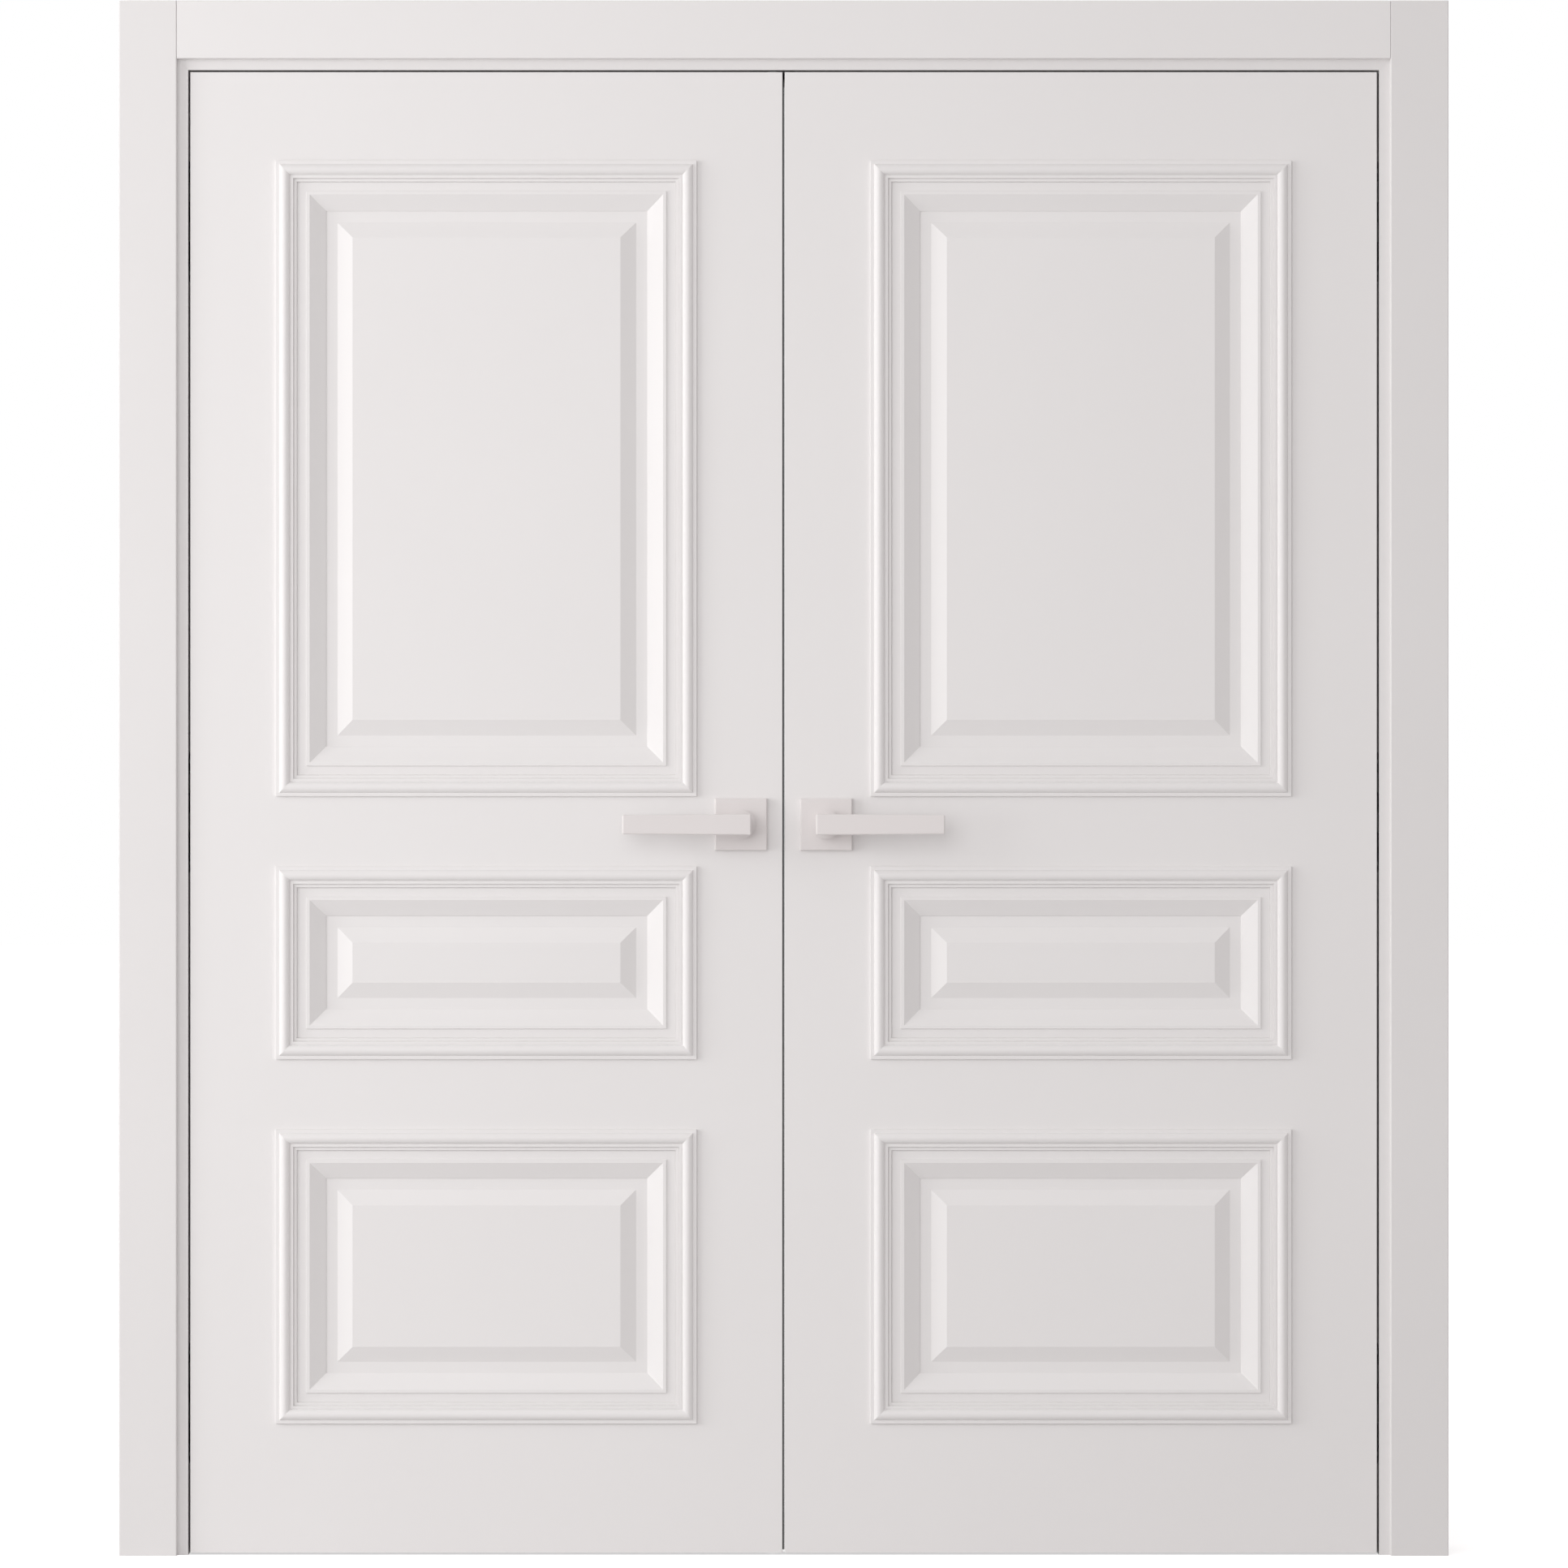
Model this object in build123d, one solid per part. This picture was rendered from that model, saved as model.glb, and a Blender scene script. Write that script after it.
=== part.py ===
from build123d import *
import os
from math import atan2, degrees, hypot

os.makedirs("parts", exist_ok=True)

# Door leaves and the gaps round them
leaf_width = 800.0
leaf_height = 2000.0
leaf_thickness = 40.0
leaf_gap = 3.0
meeting_gap = 3.0
floor_gap = 3.0
leaf_arris = 1.0

# Panel layout of a leaf, measured to the outer edge of the mouldings
side_margin = 116.0
bottom_margin = 175.0
top_margin = 120.0
cross_margin = 95.0
lower_ring_height = 397.0
middle_ring_height = 260.0

# Bolection moulding: widths across it and heights above the leaf face
moulding_overlap = 14.0
fillet_width = 4.7
bead_width = 14.3
step_width = 4.5
band_width = 13.0
lip_width = 4.3
bevel_width = 21.4
fillet_height = 4.6
bead_height = 9.6
bead_crown_share = 0.47
upper_step_height = 5.0
lower_step_height = 2.3
band_height = -0.4
lip_height = 1.8
bevel_toe = 1.2

# Raised panels
panel_sink = 10.5
panel_border = 15.3
field_bevel = 21.0
field_rise = 8.6
panel_play = 1.0

# Joinery of the stiles and rails
groove_depth = 12.0
groove_width = 16.0
dowel_diameter = 10.0
dowel_length = 80.0
dowel_shares = (0.25, 0.75)

# Frame in the wall
jamb_depth = 100.0
jamb_back = 28.0
stop_width = 12.0
hairline_width = 0.3
hairline_depth = 0.6
seal_space = 3.0
seal_width = 8.0
seal_clearance = 0.3
seal_foot_width = 3.0
seal_foot_depth = 6.0

# Casings
casing_reveal = 14.5
casing_width = 78.0
casing_thickness = 10.0
casing_round = 1.5
casing_joint = 0.3
tongue_offset = 4.0
tongue_thickness = 5.0
tongue_length = 5.5
tongue_play = 0.5

# Seals in the meeting edges
meeting_seal_depth = 35.0
meeting_seal_thickness = 3.0
meeting_seal_foot = 5.0
passive_seal_reach = 2.0
active_seal_reach = 0.6

# Concealed hinges
hinge_height_shares = (0.1, 0.5, 0.9)
cup_centre_depth = 22.0
cup_width = 29.0
cup_height = 112.0
cup_depth = 24.5
cup_wall = 1.5
cup_plate_height = 164.0
cup_plate_thickness = 3.0
cup_screw_pitch = 138.0
hinge_pin_diameter = 4.4
hinge_pin_fit = 0.08
arm_eye_diameter = 8.4
arm_width = 5.5
arm_play = 1.0
arm_pivot_offset = 6.0
arm_pivot_depth = 14.0
arm_knee_depth = 31.0
arm_tail_length = 13.0
arm_levels = 4

# Handle sets
handle_height = 984.0
handle_backset = 56.0
rose_size = 70.0
rose_thickness = 9.0
rose_round = 1.5
lever_spigot_diameter = 20.0
lever_spigot_fit = 0.08
lever_collar_diameter = 39.0
lever_collar_length = 5.0
lever_collar_clearance = 0.3
lever_neck_diameter = 24.0
lever_standoff = 36.0
lever_bar_depth = 14.0
lever_bar_length = 173.0
lever_bar_heel = 14.0
lever_bar_height = 28.0
lever_tip_height = 26.0
lever_round = 2.0
spindle_size = 8.0
spindle_socket_depth = 30.0
spindle_hole_diameter = 18.0

# Mortise latch of the active leaf
forend_height = 170.0
forend_width = 20.0
forend_thickness = 3.0
forend_centre_rise = 15.0
lock_case_height = 120.0
lock_case_thickness = 16.0
lock_case_back = 24.0
lock_case_wall = 1.5
follower_diameter = 22.0
follower_journal_diameter = 15.0
follower_fit = 0.08
follower_side_play = 0.3
follower_cam_width = 6.0
follower_cam_length = 19.0
latch_rise = 34.0
latch_height = 28.0
latch_thickness = 11.0
latch_length = 26.0
latch_tail_diameter = 6.0
latch_tail_length = 20.0
latch_clearance = 0.3

# Strike plate of the passive leaf
strike_clearance = 1.5
strike_pocket_depth = 14.0

# Flush bolts of the passive leaf
bolt_diameter = 10.0
bolt_clearance = 0.3
bolt_inset = 14.0
bolt_length = 190.0
bolt_rest_inset = 0.5
bolt_throw = 12.0
bolt_plate_height = 150.0
bolt_plate_start = 90.0
bolt_thumb_height = 18.0
bolt_thumb_width = 7.0
bolt_thumb_sink = 0.5
bolt_thumb_end = 160.0
keep_length = 60.0
keep_pocket_depth = 15.0
keep_screw_pitch = 42.0

# Countersunk screws
screw_head_diameter = 7.0
screw_head_height = 2.4
screw_shank_diameter = 3.6
screw_length = 20.0
plate_screw_length = 8.0
plate_screw_inset = 9.0

# One overrun serves all cuts
overrun = 5.0

# Places that follow from the sizes above
lock_x = meeting_gap / 2
hinge_x = lock_x + leaf_width
swing_x = hinge_x + leaf_gap / 2
rebate_x = hinge_x + leaf_gap
leaf_bottom = floor_gap
leaf_top = leaf_bottom + leaf_height
rebate_z = leaf_top + leaf_gap
rebate_depth = leaf_thickness + seal_space
mid_depth = leaf_thickness / 2
stile_width = side_margin + moulding_overlap
handle_x = lock_x + handle_backset
handle_z = leaf_bottom + handle_height
handle_reach = rose_thickness + lever_standoff + lever_bar_depth
hinge_heights = [leaf_bottom + leaf_height * share for share in hinge_height_shares]
moulding_width = fillet_width + bead_width + 2 * step_width + band_width + lip_width + bevel_width
ring_left = lock_x + side_margin
ring_right = hinge_x - side_margin
ring_width = ring_right - ring_left
lower_ring_bottom = leaf_bottom + bottom_margin
middle_ring_bottom = lower_ring_bottom + lower_ring_height + cross_margin
upper_ring_bottom = middle_ring_bottom + middle_ring_height + cross_margin
upper_ring_height = leaf_top - top_margin - upper_ring_bottom
rings = [
    ("lower", lower_ring_bottom, lower_ring_height),
    ("middle", middle_ring_bottom, middle_ring_height),
    ("upper", upper_ring_bottom, upper_ring_height),
]
opening_left = lock_x + stile_width
opening_right = hinge_x - stile_width
openings = [(bottom + moulding_overlap, bottom + height - moulding_overlap) for _, bottom, height in rings]
rail_bottoms = [leaf_bottom] + [top for _, top in openings]
rail_tops = [bottom for bottom, _ in openings] + [leaf_top]
back_reach = max(jamb_depth + casing_thickness, leaf_thickness + handle_reach)
depth_shift = (handle_reach - back_reach) / 2

mid_plane = Plane((0, mid_depth, 0), z_dir=(0, 1, 0))
wall_plane = Plane((0, jamb_depth / 2, 0), z_dir=(0, 1, 0))


def block(x0, x1, y0, y1, z0, z1):
    return Pos((x0 + x1) / 2, (y0 + y1) / 2, (z0 + z1) / 2) * Box(x1 - x0, y1 - y0, z1 - z0)


def rod_x(y, z, x0, x1, diameter):
    return Pos((x0 + x1) / 2, y, z) * Rot(0, 90, 0) * Cylinder(diameter / 2, x1 - x0)


def rod_y(x, z, y0, y1, diameter):
    return Pos(x, (y0 + y1) / 2, z) * Rot(90, 0, 0) * Cylinder(diameter / 2, y1 - y0)


def rod_z(x, y, z0, z1, diameter):
    return Pos(x, y, (z0 + z1) / 2) * Cylinder(diameter / 2, z1 - z0)


def rectangle(x0, x1, y0, y1):
    return Pos((x0 + x1) / 2, (y0 + y1) / 2) * Rectangle(x1 - x0, y1 - y0)


def group(solids):
    return Compound(children=list(solids))


def flip(shape):
    return mirror(shape, about=Plane.YZ)


def to_back(shape):
    return mirror(shape, about=mid_plane)


# Countersunk screw with its head face at the given point, driven along +X or +Z
def screw(x, y, z, turn, length):
    head = Cone(screw_shank_diameter / 2, screw_head_diameter / 2, screw_head_height)
    head = Pos(0, 0, -screw_head_height / 2) * head
    shank = Pos(0, 0, -(length + screw_head_height) / 2)
    shank = shank * Cylinder(screw_shank_diameter / 2, length - screw_head_height)
    return Pos(x, y, z) * turn * (head + shank)


into_plus_x = Rot(0, -90, 0)
into_plus_z = Rot(180, 0, 0)


# Rounded end plate lying in an upright face, let in along +X
def end_plate(x, y, z, height, width, thickness):
    face = Plane((x, y, z), x_dir=(0, 0, 1), z_dir=(1, 0, 0)) * SlotOverall(height, width)
    return extrude(face, amount=thickness)


# Section of the jamb and head boards, grooved for the casing tongues
def board_section():
    section = rectangle(0, jamb_back, 0, jamb_depth)
    front = casing_reveal + tongue_offset
    back = front - stop_width
    groove = tongue_length + tongue_play
    section -= rectangle(front, front + tongue_thickness, -overrun, groove)
    section -= rectangle(back, back + tongue_thickness, jamb_depth - groove, jamb_depth + overrun)
    return section


# Section of the stop planted on the boards, grooved for the seal
def stop_section():
    section = rectangle(-stop_width, 0, rebate_depth, jamb_depth)
    foot = -(seal_width + seal_foot_width) / 2
    section -= rectangle(foot, foot + seal_foot_width, rebate_depth - overrun, rebate_depth + seal_foot_depth)
    return section


def along_head(x, z):
    return Plane((x, 0, z), x_dir=(0, 0, 1), z_dir=(-1, 0, 0))


# Mitre prism at the right top corner, above the diagonal or below it
def mitre(above):
    outer = jamb_back + overrun
    low = (rebate_x - overrun, rebate_z - overrun)
    high = (rebate_x + outer, rebate_z + outer)
    third = (low[0], high[1]) if above else (high[0], low[1])
    face = make_face(Polyline(low, high, third, close=True))
    prism = extrude(Plane.XZ * face, amount=jamb_depth + overrun, both=True)
    return prism


# Hairline that shows in the front of the mitre at the right top corner
def mitre_hairline():
    corner = Pos(rebate_x, 0, rebate_z) * Rot(0, -45, 0)
    return corner * Box(4 * jamb_back, 2 * hairline_depth, hairline_width)


right_jamb = extrude(Pos(rebate_x, 0) * board_section(), amount=rebate_z + jamb_back) - mitre(True)
right_jamb -= mitre_hairline()
head_half = rebate_x + jamb_back
head_jamb = extrude(along_head(head_half, rebate_z) * board_section(), amount=2 * head_half)
head_jamb -= mitre(False)
head_jamb -= flip(mitre(False))
head_jamb -= mitre_hairline()
head_jamb -= flip(mitre_hairline())
side_stop = extrude(Pos(rebate_x, 0) * stop_section(), amount=rebate_z)
head_stop_half = rebate_x - stop_width
head_stop = extrude(along_head(head_stop_half, rebate_z) * stop_section(), amount=2 * head_stop_half)


# Seal strips: a lip that fills the rebate corner and a foot in its groove
def seal_sections():
    lip = rectangle(-seal_width, 0, leaf_thickness + seal_clearance, rebate_depth)
    foot = -(seal_width + seal_foot_width) / 2
    foot = rectangle(foot, foot + seal_foot_width, rebate_depth, rebate_depth + seal_foot_depth)
    return lip, foot


seal_lip, seal_foot = seal_sections()
side_seal = extrude(Pos(rebate_x, 0) * seal_lip, amount=rebate_z)
side_seal += extrude(Pos(rebate_x, 0) * seal_foot, amount=rebate_z - seal_width)
head_seal_half = rebate_x - seal_width
head_seal = extrude(along_head(head_seal_half, rebate_z) * seal_lip, amount=2 * head_seal_half)
head_seal += extrude(along_head(head_stop_half, rebate_z) * seal_foot, amount=2 * head_stop_half)


# Casing boards: a flat board with softened front edges and a tongue for the jamb groove
def casing_sections():
    board = rectangle(0, casing_width, -casing_thickness, 0)
    board = fillet(board.vertices().group_by(Axis.Y)[0], casing_round)
    tongue = rectangle(tongue_offset, tongue_offset + tongue_thickness, 0, tongue_length)
    return board, tongue


casing_board, casing_tongue = casing_sections()


def side_casing(inset):
    inner_x = rebate_x + inset
    inner_z = rebate_z + inset
    board = extrude(Pos(inner_x, 0) * casing_board, amount=inner_z + casing_width)
    return board + extrude(Pos(inner_x, 0) * casing_tongue, amount=inner_z)


def head_casing(inset):
    half = rebate_x + inset - casing_joint
    plane = along_head(half, rebate_z + inset)
    board = extrude(plane * casing_board, amount=2 * half)
    return board + extrude(plane * casing_tongue, amount=2 * half)


front_side_casing = side_casing(casing_reveal)
front_head_casing = head_casing(casing_reveal)
back_side_casing = mirror(side_casing(casing_reveal - stop_width), about=wall_plane)
back_head_casing = mirror(head_casing(casing_reveal - stop_width), about=wall_plane)


# Hinge cup let into the right jamb: the outer block, the hollow cup with its pin, and its screws
def frame_cup_block(z):
    half_width = cup_width / 2
    half_height = cup_height / 2
    plate = end_plate(rebate_x, cup_centre_depth, z, cup_plate_height, cup_width, cup_plate_thickness)
    y0 = cup_centre_depth - half_width
    y1 = cup_centre_depth + half_width
    return plate + block(rebate_x, rebate_x + cup_depth, y0, y1, z - half_height, z + half_height)


def frame_cup(z):
    half_width = cup_width / 2 - cup_wall
    half_height = cup_height / 2 - cup_wall
    y0 = cup_centre_depth - half_width
    y1 = cup_centre_depth + half_width
    x1 = rebate_x + cup_depth - cup_wall
    cup = frame_cup_block(z) - block(rebate_x - overrun, x1, y0, y1, z - half_height, z + half_height)
    pin_x = swing_x + arm_pivot_offset
    return cup + rod_z(pin_x, arm_pivot_depth, z - half_height, z + half_height, hinge_pin_diameter)


def frame_cup_screws(z):
    places = [z - cup_screw_pitch / 2, z + cup_screw_pitch / 2]
    return [screw(rebate_x, cup_centre_depth, place, into_plus_x, screw_length) for place in places]


def to_leaf_edge(shape):
    return mirror(shape, about=Plane((swing_x, 0, 0), z_dir=(1, 0, 0)))


# Hinge arm: an eye on its pin, a neck to the knee over the gap, and a tail in the other cup
def arm_leg(x0, y0, x1, y1):
    length = hypot(x1 - x0, y1 - y0)
    turn = degrees(atan2(y1 - y0, x1 - x0))
    return Pos((x0 + x1) / 2, (y0 + y1) / 2) * Rot(0, 0, turn) * SlotCenterToCenter(length, arm_width)


def frame_arms(z, first_level):
    pivot_x = swing_x + arm_pivot_offset
    outline = arm_leg(pivot_x, arm_pivot_depth, swing_x, arm_knee_depth)
    outline += arm_leg(swing_x, arm_knee_depth, swing_x - arm_tail_length, arm_knee_depth)
    outline += Pos(pivot_x, arm_pivot_depth) * Circle(arm_eye_diameter / 2)
    outline -= Pos(pivot_x, arm_pivot_depth) * Circle(hinge_pin_diameter / 2 + hinge_pin_fit)
    room = cup_height - 2 * cup_wall
    thickness = (room - (arm_levels + 1) * arm_play) / arm_levels
    arms = []
    for level in range(first_level, arm_levels, 2):
        floor_z = z - room / 2 + arm_play + level * (thickness + arm_play)
        arms.append(Pos(0, 0, floor_z) * extrude(outline, amount=thickness))
    return arms


cup_blocks = [frame_cup_block(z) for z in hinge_heights]
right_cups = []
right_cup_screws = []
for hinge_z in hinge_heights:
    screws = frame_cup_screws(hinge_z)
    cup = frame_cup(hinge_z)
    for one in screws:
        cup -= one
    right_cups.append(cup)
    right_cup_screws += screws
for cutter in cup_blocks + right_cup_screws:
    right_jamb -= cutter
leaf_cups = [to_leaf_edge(cup) for cup in right_cups]
leaf_cup_blocks = [to_leaf_edge(cutter) for cutter in cup_blocks]
leaf_cup_screws = [to_leaf_edge(one) for one in right_cup_screws]
right_frame_arms = [arm for z in hinge_heights for arm in frame_arms(z, 0)]
right_leaf_arms = [to_leaf_edge(arm) for z in hinge_heights for arm in frame_arms(z, 1)]


# Keep plate for the top flush bolt, let into the head over the passive leaf
keep_x = -(lock_x + bolt_inset)
keep_y0 = mid_depth - forend_width / 2
keep_y1 = mid_depth + forend_width / 2
keep_z1 = rebate_z + forend_thickness
keep_hole_half = bolt_diameter / 2 + strike_clearance
keep_hole = block(
    keep_x - keep_hole_half,
    keep_x + keep_hole_half,
    mid_depth - keep_hole_half,
    mid_depth + keep_hole_half,
    rebate_z - overrun,
    keep_z1 + keep_pocket_depth,
)
head_keep = block(keep_x - keep_length / 2, keep_x + keep_length / 2, keep_y0, keep_y1, rebate_z, keep_z1)
head_jamb -= head_keep
head_jamb -= keep_hole
head_keep -= keep_hole
keep_places = [keep_x - keep_screw_pitch / 2, keep_x + keep_screw_pitch / 2]
keep_screws = [screw(place, mid_depth, rebate_z, into_plus_z, screw_length) for place in keep_places]
for one in keep_screws:
    head_keep -= one
    head_jamb -= one


# Stile with softened outer edges and a panel groove along its inner edge
def stile(x0, x1, outer, groove_x):
    body = block(x0, x1, 0, leaf_thickness, leaf_bottom, leaf_top)
    body = fillet(body.edges().filter_by(Axis.Z).group_by(Axis.X)[outer], leaf_arris)
    y0 = mid_depth - groove_width / 2
    y1 = mid_depth + groove_width / 2
    return body - block(groove_x, groove_x + groove_depth, y0, y1, leaf_bottom - overrun, leaf_top + overrun)


# Rail between the stiles, with stub tenons and a groove along each edge that holds a panel
def rail(z0, z1):
    y0 = mid_depth - groove_width / 2
    y1 = mid_depth + groove_width / 2
    body = block(opening_left, opening_right, 0, leaf_thickness, z0, z1)
    body += block(opening_left - groove_depth, opening_right + groove_depth, y0, y1, z0, z1)
    left = opening_left - groove_depth - overrun
    right = opening_right + groove_depth + overrun
    if z0 > leaf_bottom:
        body -= block(left, right, y0, y1, z0 - overrun, z0 + groove_depth)
    if z1 < leaf_top:
        body -= block(left, right, y0, y1, z1 - groove_depth, z1 + overrun)
    return body


rails = [rail(z0, z1) for z0, z1 in zip(rail_bottoms, rail_tops)]
dowels = []
for z0, z1 in zip(rail_bottoms, rail_tops):
    for share in dowel_shares:
        dowel_z = z0 + (z1 - z0) * share
        for edge in (opening_left, opening_right):
            dowel_x = edge - dowel_length / 2
            dowels.append(rod_x(mid_depth, dowel_z, dowel_x, dowel_x + dowel_length, dowel_diameter))
lock_stile = stile(lock_x, opening_left, 0, opening_left - groove_depth)
hinge_stile = stile(opening_right, hinge_x, -1, opening_right)
for dowel in dowels:
    lock_stile -= dowel
    hinge_stile -= dowel
for index in range(len(rails)):
    for dowel in dowels:
        rails[index] -= dowel
for cutter in leaf_cup_blocks + leaf_cup_screws:
    hinge_stile -= cutter
lock_stile -= rod_y(handle_x, handle_z, -overrun, leaf_thickness + overrun, spindle_hole_diameter)


# Raised panel: a tongue in the grooves, a sunk border and a bevelled field on each face
def panel(ring_bottom, ring_height):
    z0 = ring_bottom + moulding_overlap
    z1 = ring_bottom + ring_height - moulding_overlap
    reach = groove_depth - panel_play
    body = block(
        opening_left + panel_play,
        opening_right - panel_play,
        panel_sink,
        leaf_thickness - panel_sink,
        z0 + panel_play,
        z1 - panel_play,
    )
    y0 = mid_depth - groove_width / 2
    y1 = mid_depth + groove_width / 2
    body += block(opening_left - reach, opening_right + reach, y0, y1, z0 - reach, z1 + reach)
    toe = moulding_width + panel_border
    top = toe + field_bevel
    centre_x = (ring_left + ring_right) / 2
    centre_z = ring_bottom + ring_height / 2
    sections = []
    for inset, y in ((toe, panel_sink), (top, panel_sink - field_rise)):
        plane = Plane((centre_x, y, centre_z), x_dir=(1, 0, 0), z_dir=(0, -1, 0))
        sections.append(plane * Rectangle(ring_width - 2 * inset, ring_height - 2 * inset))
    field = loft(sections, ruled=True)
    return body + field + to_back(field)


panels = {name: panel(bottom, height) for name, bottom, height in rings}


# Bolection moulding section: fillet, bead, two steps, band, lip and bevel, rebated over the stile edge
def moulding_section():
    bead_end = fillet_width + bead_width
    band_start = bead_end + 2 * step_width
    lip_start = band_start + band_width
    lip_end = lip_start + lip_width
    bead = ThreePointArc(
        (fillet_width, fillet_height),
        (fillet_width + bead_width * bead_crown_share, bead_height),
        (bead_end, upper_step_height),
    )
    rest = Polyline(
        (bead_end, upper_step_height),
        (bead_end + step_width, upper_step_height),
        (bead_end + step_width, lower_step_height),
        (band_start, lower_step_height),
        (band_start, band_height),
        (lip_start, band_height),
        (lip_start, lip_height),
        (lip_end, lip_height),
        (moulding_width, bevel_toe - panel_sink),
        (moulding_width, -panel_sink),
        (moulding_overlap, -panel_sink),
        (moulding_overlap, 0),
        (0, 0),
        (0, fillet_height),
        (fillet_width, fillet_height),
    )
    return make_face([bead, rest])


# Mitred strip of moulding, outer edge along X at the foot of the ring
def moulding_strip(length):
    plane = Plane((-length / 2, 0, 0), x_dir=(0, 0, 1), z_dir=(1, 0, 0))
    strip = extrude(plane * moulding_section(), amount=length)
    half = length / 2
    inner = half - moulding_width
    face = make_face(Polyline((-half, 0), (half, 0), (inner, moulding_width), (-inner, moulding_width), close=True))
    return strip & extrude(Plane.XZ * face, amount=leaf_thickness, both=True)


def moulding_ring(bottom, height):
    centre_x = (ring_left + ring_right) / 2
    centre_z = bottom + height / 2
    across = moulding_strip(ring_width)
    upright = moulding_strip(height)
    return [
        Pos(centre_x, 0, bottom) * across,
        Pos(centre_x, 0, bottom + height) * Rot(0, 180, 0) * across,
        Pos(ring_left, 0, centre_z) * Rot(0, 90, 0) * upright,
        Pos(ring_right, 0, centre_z) * Rot(0, -90, 0) * upright,
    ]


front_mouldings = [strip for _, bottom, height in rings for strip in moulding_ring(bottom, height)]
back_mouldings = [to_back(strip) for strip in front_mouldings]


# Square rose with softened front edges and a bore for the lever
rose_half = rose_size / 2
rose = block(
    handle_x - rose_half,
    handle_x + rose_half,
    -rose_thickness,
    0,
    handle_z - rose_half,
    handle_z + rose_half,
)
rose = fillet(rose.edges().group_by(Axis.Y)[0], rose_round)
rose_bore = lever_spigot_diameter + 2 * lever_spigot_fit
rose -= rod_y(handle_x, handle_z, -rose_thickness - overrun, overrun, rose_bore)


# Lever: spigot in the rose, round collar, neck and a flat tapering bar, with a square socket
def lever():
    bar_back = -(rose_thickness + lever_standoff)
    heel = handle_x - lever_bar_heel
    tip = heel + lever_bar_length
    corners = [
        (heel, handle_z - lever_bar_height / 2),
        (tip, handle_z - lever_tip_height / 2),
        (tip, handle_z + lever_tip_height / 2),
        (heel, handle_z + lever_bar_height / 2),
    ]
    face = make_face(Polyline(*corners, close=True))
    bar = Pos(0, bar_back, 0) * extrude(Plane.XZ * face, amount=lever_bar_depth)
    bar = fillet(bar.edges(), lever_round)
    collar_back = -(rose_thickness + lever_collar_clearance)
    collar_front = collar_back - lever_collar_length
    body = bar + rod_y(handle_x, handle_z, bar_back - lever_round, collar_front, lever_neck_diameter)
    body += rod_y(handle_x, handle_z, collar_front, collar_back, lever_collar_diameter)
    body += rod_y(handle_x, handle_z, collar_back, 0, lever_spigot_diameter)
    return body - square_bar(-spindle_socket_depth, overrun)


def square_bar(y0, y1):
    half = spindle_size / 2
    return block(handle_x - half, handle_x + half, y0, y1, handle_z - half, handle_z + half)


front_lever = lever()
spindle = square_bar(-spindle_socket_depth, leaf_thickness + spindle_socket_depth)


# Edge plates share one width and thickness; each has two screws near its ends
def edge_plate(centre_z, height):
    plate = end_plate(lock_x, mid_depth, centre_z, height, forend_width, forend_thickness)
    reach = height / 2 - plate_screw_inset
    places = [centre_z - reach, centre_z + reach]
    screws = [screw(lock_x, mid_depth, place, into_plus_x, plate_screw_length) for place in places]
    return plate, screws


# Mortise latch of the active leaf
forend_z = handle_z + forend_centre_rise
forend_plate, forend_screws = edge_plate(forend_z, forend_height)
latch_z = handle_z + latch_rise
case_x0 = lock_x + forend_thickness
case_x1 = handle_x + lock_case_back
case_y0 = mid_depth - lock_case_thickness / 2
case_y1 = mid_depth + lock_case_thickness / 2
case_z0 = forend_z - lock_case_height / 2
case_z1 = forend_z + lock_case_height / 2
case_block = block(case_x0, case_x1, case_y0, case_y1, case_z0, case_z1)
active_lock_stile = lock_stile - case_block - forend_plate
for one in forend_screws:
    active_lock_stile -= one
lock_case = case_block - block(
    case_x0 - overrun,
    case_x1 - lock_case_wall,
    case_y0 + lock_case_wall,
    case_y1 - lock_case_wall,
    case_z0 + lock_case_wall,
    case_z1 - lock_case_wall,
)
journal_bore = follower_journal_diameter + 2 * follower_fit
lock_case -= rod_y(handle_x, handle_z, case_y0 - overrun, case_y1 + overrun, journal_bore)
hub_y0 = case_y0 + lock_case_wall + follower_side_play
hub_y1 = case_y1 - lock_case_wall - follower_side_play
lock_follower = rod_y(handle_x, handle_z, hub_y0, hub_y1, follower_diameter)
lock_follower += rod_y(handle_x, handle_z, case_y0, case_y1, follower_journal_diameter)
cam_half = follower_cam_width / 2
cam_top = handle_z + follower_cam_length
lock_follower += block(handle_x - cam_half, handle_x + cam_half, hub_y0, hub_y1, handle_z, cam_top)
lock_follower -= square_bar(-overrun, leaf_thickness + overrun)
latch_x0 = lock_x + latch_clearance
latch_x1 = latch_x0 + latch_length
latch_y0 = mid_depth - latch_thickness / 2
latch_y1 = mid_depth + latch_thickness / 2
latch_z0 = latch_z - latch_height / 2
latch_z1 = latch_z + latch_height / 2
latch_bolt = block(latch_x0, latch_x1, latch_y0, latch_y1, latch_z0, latch_z1)
latch_bolt += rod_x(mid_depth, latch_z, latch_x1, latch_x1 + latch_tail_length, latch_tail_diameter)
forend_plate -= block(
    lock_x - overrun,
    lock_x + forend_thickness + overrun,
    latch_y0 - latch_clearance,
    latch_y1 + latch_clearance,
    latch_z0 - latch_clearance,
    latch_z1 + latch_clearance,
)
for one in forend_screws:
    forend_plate -= one


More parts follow.
